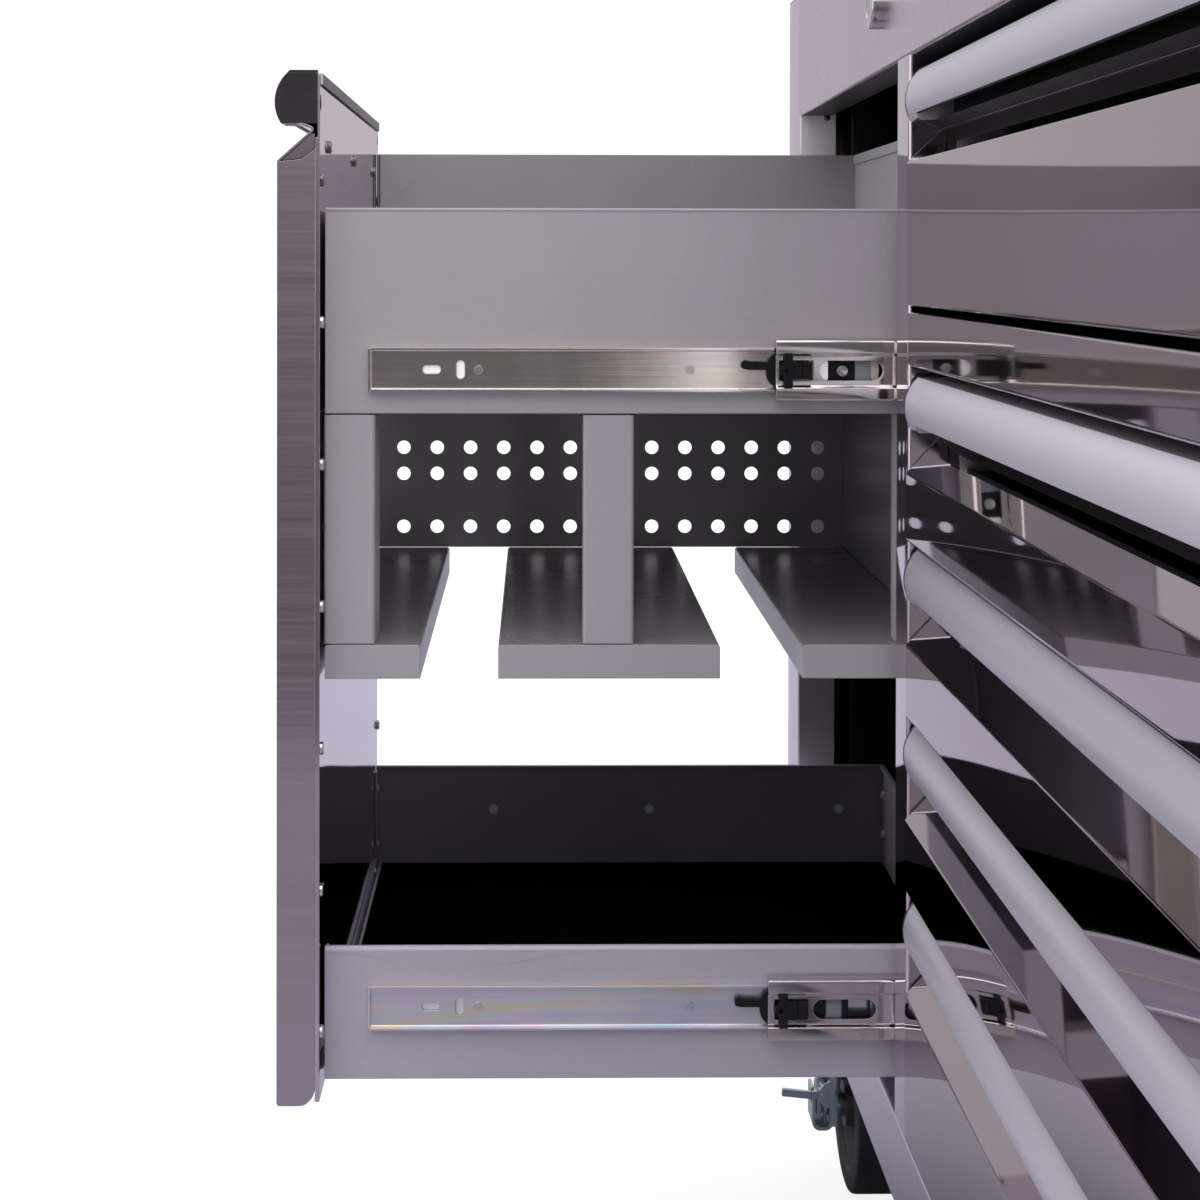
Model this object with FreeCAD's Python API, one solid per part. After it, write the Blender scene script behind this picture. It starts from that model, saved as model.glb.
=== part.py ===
import FreeCAD, Part
import os, math

V = FreeCAD.Vector

# ---------------------------------------------------------------- dimensions (mm)
W = 1322.0            # case width (52 in class)
D = 457.0             # case depth (18 in)
FL = 14.0             # height of the floor in these drawing coordinates
H = FL + 914.0        # worktop, 914 mm (36 in) above the floor
T = 1.2               # outer sheet
TI = 1.0              # tray sheet
STILE = 60.0          # front stiles
OPEN_L = 406.0        # opening of the tall bay
DIV = 34.0            # divider post
LIP = 28.0            # inner lips of stiles and post
APRON_Z = 834.0       # lower edge of the top rail
BASE_Z = 190.0        # underside of the bottom pan
RAIL_Z = 241.0        # top of the bottom rail
CROSS_Z0, CROSS_Z1 = 664.5, 694.0

XO = W / 2
XL1 = -XO + STILE               # left edge of the tall opening
XD0 = XL1 + OPEN_L              # divider, left face
XD1 = XD0 + DIV                 # divider, right face
XR1 = XO - STILE                # right edge of the wide opening

SL = 12.7                       # slide thickness each side
SLIDE_L = 350.0
TRAVEL = 347.0                  # full travel of every drawer
MID_TRAVEL = 118.0              # travel of the intermediate members
Y_MEM = 50.7                    # front end of the slide members when shut
GAP = 2.5                       # reveal at each side of a front

FACE_SHUT = -1.3                # face of a shut front
PLATE_IN, PLATE_OUT = 22.9, 24.1   # back plate, measured from the face
TALL_FACE = FACE_SHUT - TRAVEL  # face of the tall drawer, pulled out

# front profile, measured down from the top of the pull
CAP_DROP = 28.5
VERT_DROP = 31.6
LIP_DROP = 50.8

TALL_TOP, TALL_BOT = 827.0, 245.0
WIDE = [(825.4, 697.5), (658.7, 569.0), (564.8, 473.5), (469.8, 378.0), (374.0, 244.0)]
BOX_H = [88.0, 58.0, 58.0, 58.0, 92.0]
SLIDE_UP, SLIDE_LO = 659.8, 297.9

YC = (D + (TALL_FACE - 1.2)) / 2      # middle of the bounding box along Y
SHIFT = V(0, -YC, -FL)

os.makedirs("parts", exist_ok=True)
NODES = {}


# ---------------------------------------------------------------- helpers
def box(x0, x1, y0, y1, z0, z1):
    return Part.makeBox(x1 - x0, y1 - y0, z1 - z0, V(x0, y0, z0))


def cyl(x, y, z, r, h, axis):
    return Part.makeCylinder(r, h, V(x, y, z), V(*axis))


def outline(pts, radii):
    """closed edge loop in a plane with rounded corners; pts are 3-D vectors"""
    n = len(pts)
    starts, ends, arcs = [], [], []
    for i in range(n):
        p, a, b = pts[i], pts[i - 1], pts[(i + 1) % n]
        r = radii[i]
        u = (a - p)
        w = (b - p)
        lu, lw = u.Length, w.Length
        u.normalize()
        w.normalize()
        c = max(-1.0, min(1.0, u.dot(w)))
        ang = math.acos(c)
        if r <= 1e-6 or abs(ang - math.pi) < 1e-3:
            starts.append(p)
            ends.append(p)
            arcs.append(None)
            continue
        d = r / math.tan(ang / 2)
        d = min(d, 0.49 * lu, 0.49 * lw)
        r = d * math.tan(ang / 2)
        s = p + u * d
        e = p + w * d
        bis = (u + w)
        bis.normalize()
        cen = p + bis * (r / math.sin(ang / 2))
        mid = cen - bis * r
        starts.append(s)
        ends.append(e)
        arcs.append(Part.Arc(s, mid, e).toShape())
    edges = []
    for i in range(n):
        if arcs[i] is not None:
            edges.append(arcs[i])
        a, b = ends[i], starts[(i + 1) % n]
        if (b - a).Length > 1e-6:
            edges.append(Part.LineSegment(a, b).toShape())
    return Part.Wire(edges)


def prism(pts, radii, vec):
    return Part.Face(outline(pts, radii)).extrude(vec)


def sheet_outline(pts, t, ri):
    """2-D bent sheet: reference side pts, thickness t to the left, inner bend radius ri"""
    n = len(pts)
    nrm = []
    for i in range(n - 1):
        dx, dy = pts[i + 1][0] - pts[i][0], pts[i + 1][1] - pts[i][1]
        L = math.hypot(dx, dy)
        nrm.append((-dy / L, dx / L))
    off, rr, ro = [], [0.0], [0.0]
    off.append((pts[0][0] + nrm[0][0] * t, pts[0][1] + nrm[0][1] * t))
    for i in range(1, n - 1):
        n0, n1 = nrm[i - 1], nrm[i]
        k = 1 + n0[0] * n1[0] + n0[1] * n1[1]
        off.append((pts[i][0] + (n0[0] + n1[0]) * t / k, pts[i][1] + (n0[1] + n1[1]) * t / k))
        left = n0[0] * n1[1] - n0[1] * n1[0] > 0
        rr.append(ri + t if left else ri)
        ro.append(ri if left else ri + t)
    off.append((pts[-1][0] + nrm[-1][0] * t, pts[-1][1] + nrm[-1][1] * t))
    rr.append(0.0)
    ro.append(0.0)
    return list(pts) + off[::-1], rr + ro[::-1]


def bent_yz(pts, x0, x1, t=T, ri=0.8):
    p, r = sheet_outline(pts, t, ri)
    return prism([V(x0, a, b) for a, b in p], r, V(x1 - x0, 0, 0))


def bent_xy(pts, z0, z1, t=T, ri=0.8):
    p, r = sheet_outline(pts, t, ri)
    return prism([V(a, b, z0) for a, b in p], r, V(0, 0, z1 - z0))


def poly_yz(pts, x0, x1, radii=None):
    return prism([V(x0, a, b) for a, b in pts], radii or [0] * len(pts), V(x1 - x0, 0, 0))


def fuse(*s):
    out = s[0]
    for q in s[1:]:
        out = out.fuse(q)
    return out.removeSplitter()


def mirror_x(s):
    return s.mirror(V(0, 0, 0), V(1, 0, 0))


def put(name, *solids):
    out = []
    for s in solids:
        out.extend(s.Solids)
    NODES[name] = out


def member(kind, xbox, side, zc, y0, y1):
    """slide member; u grows away from the drawer box, side is +1 or -1 along X"""
    if kind == "D":
        p = [(0, -12.5), (4.8, -12.5), (4.8, -11.1), (1.4, -11.1), (1.4, 11.1), (4.8, 11.1), (4.8, 12.5), (0, 12.5)]
        r = [0, 0, 0, 0.8, 0.8, 0, 0, 0]
    elif kind == "I":
        p = [(1.8, 17.3), (10.4, 17.3), (10.4, 9.7), (7.9, 8.3), (7.9, -8.3), (10.4, -9.7), (10.4, -17.3), (1.8, -17.3),
             (1.8, -16.1), (9.2, -16.1), (9.2, -10.4), (6.7, -9.0), (6.7, 9.0), (9.2, 10.4), (9.2, 16.1), (1.8, 16.1)]
        r = [0, 1.5, 0.9, 0.6, 0.6, 0.9, 1.5, 0, 0, 0.4, 0, 0, 0, 0, 0.4, 0]
    else:
        p = [(3.2, -22.7), (12.7, -22.7), (12.7, 22.7), (3.2, 22.7), (3.2, 21.4), (11.5, 21.4), (11.5, -21.4), (3.2, -21.4)]
        r = [0, 1.8, 1.8, 0, 0, 0.5, 0.5, 0]
    pts = [V(xbox + side * u, y0, zc + z) for u, z in p]
    return prism(pts, r, V(0, y1 - y0, 0))


def obround_x(x0, x1, ya, yb, zc, r):
    """slot along Y, cut through in X"""
    s = box(x0, x1, ya + r, yb - r, zc - r, zc + r)
    s = s.fuse(cyl(x0, ya + r, zc, r, x1 - x0, (1, 0, 0)))
    return s.fuse(cyl(x0, yb - r, zc, r, x1 - x0, (1, 0, 0)))


def obround_z(x0, x1, yc, za, zb, r):
    s = box(x0, x1, yc - r, yc + r, za + r, zb - r)
    s = s.fuse(cyl(x0, yc, za + r, r, x1 - x0, (1, 0, 0)))
    return s.fuse(cyl(x0, yc, zb - r, r, x1 - x0, (1, 0, 0)))


# ---------------------------------------------------------------- drawer fronts
def front_pan(x0, x1, top, bot, yf, lip_drop=LIP_DROP):
    lip, vert, cap = top - lip_drop, top - VERT_DROP, top - CAP_DROP
    skin = bent_yz([(yf + 10.2, cap + 0.2), (yf + 19.9, vert), (yf, lip), (yf, bot), (yf + 21.4, bot)], x0, x1)
    fl = [(yf + 0.4, bot + 0.4), (yf + 21.4, bot + 0.4), (yf + 21.4, lip + 6.6), (yf + 14.0, lip + 0.8), (yf + 0.4, lip - 0.6)]
    rad = [1.0, 9.0, 0, 1.0, 0]
    a = poly_yz(fl, x0, x0 + T, rad)
    b = poly_yz(fl, x1 - T, x1, rad)
    body = fuse(skin, a, b).cut(box(x0 - 1, x1 + 1, yf - 5, yf + 30, cap, cap + 6))
    # the lower rear corner of the pan is rounded
    cut = poly_yz([(yf + 12.4, bot - 1), (yf + 22.4, bot - 1), (yf + 22.4, bot + 9)], x0 - 1, x1 + 1)
    rnd = cyl(x0 - 2, yf + 12.4, bot + 9.0, 9.0, x1 - x0 + 4, (1, 0, 0))
    return body.cut(cut.cut(rnd))


def handle_profile(yf, top, x0, x1, inset):
    """solid D-shaped pull; inset shrinks it for the hollow inside"""
    k = inset
    a, b = V(x0, yf + 2.1 + k, top - CAP_DROP + k), V(x0, yf + 5.8 + k * 0.6, top - k)
    m = V(x0, yf - 1.2 + k, top - 13.6)
    c, d = V(x0, yf + 22.8 - k, top - k), V(x0, yf + 22.8 - k, top - CAP_DROP + k)
    w = Part.Wire([Part.Arc(a, m, b).toShape(), Part.LineSegment(b, c).toShape(),
                   Part.LineSegment(c, d).toShape(), Part.LineSegment(d, a).toShape()])
    return Part.Face(w).extrude(V(x1 - x0, 0, 0))


def pull(x0, x1, top, yf, lipped=True):
    body = handle_profile(yf, top, x0 + 3, x1 - 3, 0).cut(handle_profile(yf, top, x0 + 2, x1 - 2, 2.0))
    # open underneath, so the fingers reach up behind the rounded front
    body = body.cut(box(x0, x1, yf - 5, yf + 20.8, top - CAP_DROP - 1, top - CAP_DROP + 3.8))
    if lipped:
        hook = poly_yz([(yf + 22.8, top), (yf + 25.4, top), (yf + 25.4, top - 6.6), (yf + 24.2, top - 6.6),
                        (yf + 24.2, top - 1.3), (yf + 22.8, top - 1.3)], x0 + 3, x1 - 3, [0, 0.6, 0, 0, 0, 0])
        body = fuse(body, hook)
    return body


def caps(x0, x1, top, yf):
    """end caps: a flat face, a collar that stands up a little above the pull, and a plug that fills its end"""
    out = []
    for a, b, c, d in ((x0, x0 + 1.5, x0 + 3.0, x0 + 24.0), (x1 - 1.5, x1, x1 - 3.0, x1 - 24.0)):
        face = handle_profile(yf, top, a, b, 0)
        e, g = (b, c) if c > b else (c, a)
        collar = fuse(handle_profile(yf, top, e, g, 0), handle_profile(yf + 1.2, top + 1.6, e, g, 0).common(
            box(e, g, yf - 2, yf + 22.7, top - 12, top + 3)))
        lo_, hi = min(c, d), max(c, d)
        plug = handle_profile(yf, top, lo_, hi, 2.1).common(box(lo_, hi, yf - 5, yf + 20.6, top - CAP_DROP, top))
        foot = handle_profile(yf, top, lo_, hi, 0).common(box(lo_, hi, yf - 5, yf + 20.6, top - CAP_DROP, top - CAP_DROP + 3.7))
        out.append(fuse(face, collar, plug, foot))
    return out


def back_plate(x0, x1, top, bot, yf):
    p = box(x0, x1, yf + PLATE_IN, yf + PLATE_OUT, bot + 2.4, top - 1.3)
    a = box(x0, x0 + T, yf + 21.5, yf + PLATE_IN, bot + 2.4, top - CAP_DROP - 8)
    b = box(x1 - T, x1, yf + 21.5, yf + PLATE_IN, bot + 2.4, top - CAP_DROP - 8)
    return fuse(p, a, b)


# ---------------------------------------------------------------- case
side = bent_xy([(-XO + 16, D), (-XO, D), (-XO, 0), (XL1, 0), (XL1, LIP)], BASE_Z + 1.5, H - T)
put("side_left", side)
put("side_right", mirror_x(side))
put("back_panel", box(-XO + T + 1.0, XO - T - 1.0, D - 2 * T, D - T, BASE_Z + 1.5, H - T - 1.0))

floor = box(-XO, XO, T, D, BASE_Z, BASE_Z + 1.5)
rail = bent_yz([(LIP, RAIL_Z), (0, RAIL_Z), (0, BASE_Z), (40, BASE_Z)], XL1 + 0.1, XR1 - 0.1)
ends = [box(-XO, XL1 + 0.1, 0, T, BASE_Z, BASE_Z + 1.5), box(XR1 - 0.1, XO, 0, T, BASE_Z, BASE_Z + 1.5)]
put("bottom_pan", fuse(floor, rail, *ends))

cover = bent_yz([(D, H - 24), (D, H), (0, H), (0, APRON_Z), (25, APRON_Z)], XL1 + 0.1, XR1 - 0.1)
wings = [box(-XO, XL1 + 0.1, 0, D, H - T, H), box(XR1 - 0.1, XO, 0, D, H - T, H)]
LOCK_X, LOCK_Z = -250.0, 871.0
cover = fuse(cover, *wings).cut(cyl(LOCK_X, -1, LOCK_Z, 10.2, 4, (0, 1, 0)))
put("top_cover", cover)

put("divider_post", bent_xy([(XD0, LIP), (XD0, 0), (XD1, 0), (XD1, LIP)], RAIL_Z, APRON_Z))
put("cross_rail", bent_yz([(20, CROSS_Z1), (0, CROSS_Z1), (0, CROSS_Z0), (20, CROSS_Z0)], XD1 + 0.1, XR1 - 0.1))

zi0, zi1 = BASE_Z + 1.5, H - T
part_wall = box(XD0, XD1, LIP + 0.2, D - 2 * T, zi0, zi1).cut(box(XD0 + T, XD1 - T, LIP, D - 2 * T - T, zi0 - 1, zi1 + 1))
part_wall = fuse(part_wall, box(XD0 + T, XD1 - T, LIP + 0.2, LIP + 0.2 + T, zi0, zi1))
liner_l = bent_xy([(-XO + T + 0.2, 40), (XL1, 40), (XL1, 445), (-XO + T + 0.2, 445)], zi0, zi1)
put("inner_walls", part_wall, liner_l, mirror_x(liner_l))

# box faces of the tall drawer and of the wide drawers
TX1, TX0 = XD0 - SL, XL1 + SL
WX0, WX1 = XD1 + SL, XR1 - SL
box_z0 = [z0 + 9.0 for _, z0 in WIDE]
slide_z = [box_z0[i] + 24.0 + (10.0 if i in (0, 4) else 3.0) for i in range(5)]

cab = []
for z in (SLIDE_UP, SLIDE_LO):
    cab.append(member("C", TX1, 1, z, Y_MEM, Y_MEM + SLIDE_L))
    cab.append(member("C", TX0, -1, z, Y_MEM, Y_MEM + SLIDE_L))
for z in slide_z:
    cab.append(member("C", WX1, 1, z, Y_MEM, Y_MEM + SLIDE_L))
    cab.append(member("C", WX0, -1, z, Y_MEM, Y_MEM + SLIDE_L))
put("cabinet_runners", *cab)

# lock: housing with bezel and nut, plug with key slot and cam
bezel = cyl(LOCK_X, -7.0, LOCK_Z, 12.5, 7.0, (0, 1, 0))
bezel = bezel.makeFillet(1.4, [e for e in bezel.Edges if abs(e.CenterOfMass.y + 7.0) < 0.1 and len(e.Vertexes) == 1])
hous = fuse(bezel, cyl(LOCK_X, 0, LOCK_Z, 10.0, 16, (0, 1, 0)))
nut = Part.makePolygon([V(LOCK_X + 14 * math.cos(a), T + 0.1, LOCK_Z + 14 * math.sin(a)) for a in
                        [math.radians(60 * i) for i in range(7)]])
nut = Part.Face(nut).extrude(V(0, 4, 0)).cut(cyl(LOCK_X, 0, LOCK_Z, 10.0, 8, (0, 1, 0)))
hous = fuse(hous, nut).cut(cyl(LOCK_X, -9, LOCK_Z, 7.55, 32, (0, 1, 0)))
put("lock_housing", hous)
plug = cyl(LOCK_X, -6.8, LOCK_Z, 7.5, 26, (0, 1, 0))
plug = plug.cut(box(LOCK_X - 0.8, LOCK_X + 0.8, -8, 3, LOCK_Z - 4.2, LOCK_Z + 4.2))
cam = fuse(box(LOCK_X - 6, LOCK_X + 6, 16.6, 18.8, LOCK_Z - 30, LOCK_Z + 6), cyl(LOCK_X, 16.6, LOCK_Z, 9.0, 2.2, (0, 1, 0)))
put("lock_plug", fuse(plug, cam))

# ---------------------------------------------------------------- tall drawer
yf = TALL_FACE
yb = yf + PLATE_OUT                     # rear of the back plate
FX0, FX1 = XL1 + GAP, XD0 - GAP
PX = XD0                                # x of the divider's left face
Y0 = yb + 0.3                           # front of trays
YU, YP, YL = 42.0, 32.3, 64.2           # rear of upper tray, tool bay, lower tray

put("tall_front_pan", front_pan(FX0, FX1, TALL_TOP, TALL_BOT, yf, 49.4))
plate = back_plate(FX0, FX1, TALL_TOP, TALL_BOT, yf)
for xk in (PX - 4.7, PX - 399.8):
    plate = plate.cut(box(xk - 0.9, xk + 0.9, yb - 4, yb + 1, 806, 813)).cut(cyl(xk, yb - 4, 806.5, 1.9, 5, (0, 1, 0)))
put("tall_back_plate", plate)
put("tall_handle", pull(FX0, FX1, TALL_TOP, yf))
put("tall_handle_caps", *caps(FX0, FX1, TALL_TOP, yf))

ZU0, ZUN, ZUF = 634.8, 751.5, 802.6
YW = Y0 + 1.6                           # front ends of the near walls, a little behind the back plate
up = box(TX0, TX1, YW, YU, ZU0, ZU0 + TI)
up = fuse(up, box(TX1 - TI, TX1, YW, YU, ZU0, ZUN), box(TX0, TX0 + TI, Y0, YU, ZU0, ZUF),
          box(TX0, TX1, YU - TI, YU, ZU0, ZUN), box(TX0, TX1 - 14, YU - TI, YU, ZU0, ZUF),
          box(TX0, TX1, YW, YW + TI, ZU0, ZUN - 1.5),
          box(TX1 - 2.6, TX1, YW, YU, ZUN - 7.0, ZUN), box(TX0, TX1 - 14, YU - 2.4, YU, ZUF - 7, ZUF),
          # rolled bead along the top of the near wall
          cyl(TX1 - 0.7, YW, ZUN - 1.1, 1.1, YU - YW, (0, 1, 0)))
put("tall_upper_tray", up)

ZS1, ZS0 = 503.2, 484.0                 # shelf top and lip
HOLE_R, PITCH = 5.15, 25.36
peg = box(TX0, TX0 + TI, Y0, YP + 1.2, ZS1 + 0.2, ZU0 - 0.2)
for y_first in (-303.2, -114.2):
    for i in range(6):
        for z in (579.4, 559.5, 519.1):
            peg = peg.cut(cyl(TX0 - 1, y_first + i * PITCH, z, HOLE_R, 4, (1, 0, 0)))
put("tall_peg_panel", peg)
put("tall_rear_wall", box(TX0 + TI + 0.1, TX1 - 0.2, YP, YP + 1.2, ZS1 + 0.2, ZU0 - 0.2))


def post(y0, y1, depth):
    s = bent_xy([(TX1 - depth, y0), (TX1, y0), (TX1, y1), (TX1 - depth, y1)], ZS1 + 0.6, ZU0 - 1.0)
    return s


put("tall_posts", post(-322.9, -294.0, 34.0), post(-175.9, -147.0, 14.0), post(3.2, YP - 0.1, 20.0))


def shelf(y0, y1, left=True, right=True):
    s = bent_yz([(y1, ZS0), (y1, ZS1), (y0, ZS1), (y0, ZS0)], TX0 + TI + 0.1, TX1)
    s = fuse(s, box(TX1 - T, TX1, y0 + 0.6, y1 - 0.6, ZS0, ZS1 - 0.6))
    return s


put("tall_shelves", shelf(-322.4, -268.3), shelf(-224.0, -97.7), shelf(-50.6, YP + 1.2))

ZL0, ZLN, ZLF = 256.1, 331.3, 336.4
lo = box(TX0, TX1, Y0, YL, ZL0, ZL0 + TI).cut(box(TX1 - 14, TX1 + 1, Y0 - 1, YW, ZL0 - 1, ZL0 + 2))
lo = fuse(lo, box(TX1 - TI, TX1, YW, YL, ZL0, ZLN), box(TX0, TX0 + TI, Y0, YL, ZL0, ZLF),
          box(TX0, TX1 - 8, YL - TI, YL, ZL0, ZLF), box(TX1 - 8, TX1, YL - TI, YL, ZL0, ZLN),
          # low flange along the back plate, corner flange, and the strip that holds the mat
          box(TX0, TX1 - 14, Y0, Y0 + TI, ZL0, ZL0 + 12.9), box(TX0, TX0 + 13, Y0, Y0 + TI, ZL0, ZLF - 2.5),
          box(TX1 - 13, TX1, YW, YW + TI, ZL0, ZLN - 2.5),
          box(TX0, TX1, -321.4, -319.5, ZL0, ZL0 + TI + 5.2),
          box(TX1 - 3.4, TX1, YW, YL, ZLN - 2.4, ZLN), box(TX0, TX0 + 3.4, Y0, YL, ZLF - 2.4, ZLF),
          box(TX0, TX1 - 8, YL - 3.4, YL, ZLF - 2.4, ZLF))
edge = [e for e in lo.Edges if abs(e.CenterOfMass.x - TX1) < 0.01 and abs(e.CenterOfMass.z - ZLN) < 0.01 and e.Length > 300]
if edge:
    lo = lo.makeChamfer(1.8, edge)
put("tall_lower_tray", lo)
put("tall_liner", box(TX0 + TI + 0.6, TX1 - TI - 0.6, -319.2, YL - TI - 0.8, ZL0 + TI, ZL0 + TI + 5.0))

yd = Y_MEM - TRAVEL                     # drawer member, pulled out
ym = Y_MEM - MID_TRAVEL                 # intermediate member, pulled out
runs, mids, stops, screws = [], [], [], []
for xb, s in ((TX1, 1), (TX0, -1)):
    for z in (SLIDE_UP, SLIDE_LO):
        m = member("D", xb, s, z, yd, yd + SLIDE_L)
        # turned-up tab that closes the front end
        m = fuse(m, box(min(xb, xb + s * 4.0), max(xb, xb + s * 4.0), yd - 1.4, yd + 0.2, z - 12.0, z + 12.0))
        xa, xc = (xb - 1, xb + 6) if s > 0 else (xb - 6, xb + 1)
        m = m.cut(obround_x(xa, xc, yd + 29.2, yd + 39.6, z, 2.4)).cut(obround_z(xa, xc, yd + 50.8, z - 5.2, z + 5.2, 2.4))
        runs.append(m)
        ya = ym if z == SLIDE_UP else ym - 3.5      # the lower pair stands a little further out
        n = member("I", xb, s, z, ya, ya + 330.0)
        xa, xc = (xb + 5, xb + 11.5) if s > 0 else (xb - 11.5, xb - 5)
        yw, yo = (ya, 0.0) if z == SLIDE_UP else (ya + 1.8, -0.8)
        n = n.cut(box(xa, xc, yw + 1.8, yw + 21.2, z - 5.7, z + 5.7))
        n = n.cut(obround_x(xa, xc, yw + 24.6 + yo, yw + 60.4 + yo, z, 5.6))
        mids.append(n)
        ya = yw
        u0, u1 = (xb + 5.4, xb + 10.6) if s > 0 else (xb - 10.6, xb - 5.4)
        bar = box(xb + 10.5, xb + 11.2, ya + 4.4, ya + 9.2, z - 9.6, z + 9.6) if s > 0 else \
            box(xb - 11.2, xb - 10.5, ya + 4.4, ya + 9.2, z - 9.6, z + 9.6)
        rnd = cyl(u0, ya + 7.2, z, 5.2, u1 - u0, (1, 0, 0))
        st = fuse(box(u0, u1, ya + 7.2, ya + 20.2, z - 5.0, z + 5.0), rnd, bar)
        pit = cyl(xb + s * 11.5, ya + 5.4, z, 1.3, 2.6, (-s, 0, 0))
        groove = box(min(u0, u1) - 1, max(u0, u1) + 1, ya + 14.4, ya + 15.0, z - 5.5, z + 5.5)
        st = st.cut(pit).cut(groove.common(box(xb + 9.4, xb + 12, ya, ya + 30, z - 6, z + 6) if s > 0 else
                                           box(xb - 12, xb - 9.4, ya, ya + 30, z - 6, z + 6)))
        stops.append(st)
        # countersunk rivets that hold the member to the tray
        for yy in (60.9, 180.8, 320.0):
            if s > 0:
                screws.append(cyl(xb + 1.45, yd + yy, z, 2.6, 0.8, (1, 0, 0)))
            else:
                screws.append(cyl(xb - 1.45, yd + yy, z, 2.6, 0.8, (-1, 0, 0)))
put("tall_runners", *runs)
put("tall_mid_runners", *mids)
put("tall_mid_stops", *stops)

LEV_Y, LEV_DZ = -61.5, 2.6


def lever(xb, s, z, LEV_Y):
    """release lever: thin finger arm in front of a broad rounded plate"""
    zz = z + LEV_DZ
    u0 = 1.6
    xa = xb + s * u0 if s > 0 else xb - u0 - 3.0
    arm = poly_yz([(LEV_Y - 2, zz - 2.6), (LEV_Y - 21.5, zz - 2.4), (LEV_Y - 24.7, zz - 1.6), (LEV_Y - 24.9, zz + 1.7),
                   (LEV_Y - 22.8, zz + 3.0), (LEV_Y - 19.6, zz + 2.3), (LEV_Y - 2, zz + 2.0)], xa, xa + 3.0,
                  [0, 1.5, 1.2, 1.2, 1.0, 2.0, 0])
    disc = poly_yz([(LEV_Y - 5.0, z + 10.2), (LEV_Y - 9.8, z + 6.4), (LEV_Y - 10.9, z), (LEV_Y - 9.8, z - 6.4),
                    (LEV_Y - 5.0, z - 10.2), (LEV_Y + 4.2, z - 10.2), (LEV_Y + 4.2, z + 10.2)], xa, xa + 3.0,
                   [2.5, 7, 12, 7, 2.5, 1, 1])
    tail = box(xa, xa + 3.0, LEV_Y, LEV_Y + 15.0, zz - 1.6, zz + 1.6)
    return fuse(disc, arm, tail).cut(cyl(xa - 1, LEV_Y, zz, 1.25, 5, (1, 0, 0)))


for nm, xb, s, z in (("ur", TX1, 1, SLIDE_UP), ("ul", TX0, -1, SLIDE_UP), ("lr", TX1, 1, SLIDE_LO), ("ll", TX0, -1, SLIDE_LO)):
    ly = LEV_Y if z == SLIDE_UP else LEV_Y - 3.0
    put("tall_lever_" + nm, lever(xb, s, z, ly))
    xr = xb + 1.45 if s > 0 else xb - 5.2
    screws.append(cyl(xr, ly, z + LEV_DZ, 1.2, 3.75, (1, 0, 0)))

# screws on the back plate, three rivets under the pull, and screw ends in the lower tray


def screw_y(x, y, z, r=3.6, h=1.9):
    s = cyl(x, y, z, r, h, (0, 1, 0))
    s = s.makeFillet(0.9, [e for e in s.Edges if abs(e.CenterOfMass.y - (y + h)) < 0.01 and len(e.Vertexes) == 1])
    return s


for z in (766.7, 686.6, 606.4, 526.2, 446.0, 365.8, 285.6):
    screws.append(screw_y(FX1 - 4.4, yb + 0.05, z))
    screws.append(screw_y(FX0 + 4.0, yb + 0.05, z))
for x in (PX - 47.1, PX - 204.0, PX - 361.0):
    screws.append(screw_y(x, yb + 0.05, 787.6, 3.7, 1.9))
for y in (-234.2, -115.7, 29.2):
    screws.append(cyl(TX0 + TI + 0.05, y, 303.4, 3.4, 3.6, (1, 0, 0)))
for z in (315.1, 285.1):
    screws.append(cyl(PX - 384.9, YL - TI - 0.05, z, 3.2, 2.4, (0, -1, 0)))
for x, z in ((TX0 + 6.5, 320.5), (TX0 + 6.5, 278.0), (-392.0, 264.2), (-560.0, 264.2)):
    screws.append(screw_y(x, Y0 + TI + 0.05, z, 2.4, 1.4))
put("tall_screws", *screws)

# ---------------------------------------------------------------- wide drawers
GX0, GX1 = XD1 + GAP, XR1 - GAP
for i, (zt, zb) in enumerate(WIDE):
    n = "d%d_" % (i + 1)
    f = FACE_SHUT
    put(n + "front", front_pan(GX0, GX1, zt, zb, f, 50.1 if i == 0 else 52.3))
    put(n + "handle", pull(GX0, GX1, zt, f), *caps(GX0, GX1, zt, f))
    y0, y1 = f + PLATE_OUT, 411.0
    z0, z1 = box_z0[i], box_z0[i] + BOX_H[i]
    b = back_plate(GX0, GX1, zt, zb, f)
    b = fuse(b, box(WX0, WX1, y0, y1, z0, z0 + TI), box(WX0, WX0 + TI, y0, y1, z0, z1), box(WX1 - TI, WX1, y0, y1, z0, z1),
             box(WX0, WX1, y1 - TI, y1, z0, z1), box(WX0, WX0 + 3.0, y0, y1, z1 - 2.2, z1), box(WX1 - 3.0, WX1, y0, y1, z1 - 2.2, z1))
    zs = slide_z[i]
    put(n + "box", b, member("D", WX1, 1, zs, Y_MEM, Y_MEM + SLIDE_L), member("D", WX0, -1, zs, Y_MEM, Y_MEM + SLIDE_L))
    put(n + "mid", member("I", WX1, 1, zs, Y_MEM, Y_MEM + 330.0), member("I", WX0, -1, zs, Y_MEM, Y_MEM + 330.0))

# ---------------------------------------------------------------- casters
CX, CYF, CYR = 550.0, 56.0, 401.0
TRAIL = 36.0
WR, WW, HUB_R = 63.5, 43.0, 45.0
AZ = FL + WR                            # axle height
AX_R = 6.0


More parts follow.
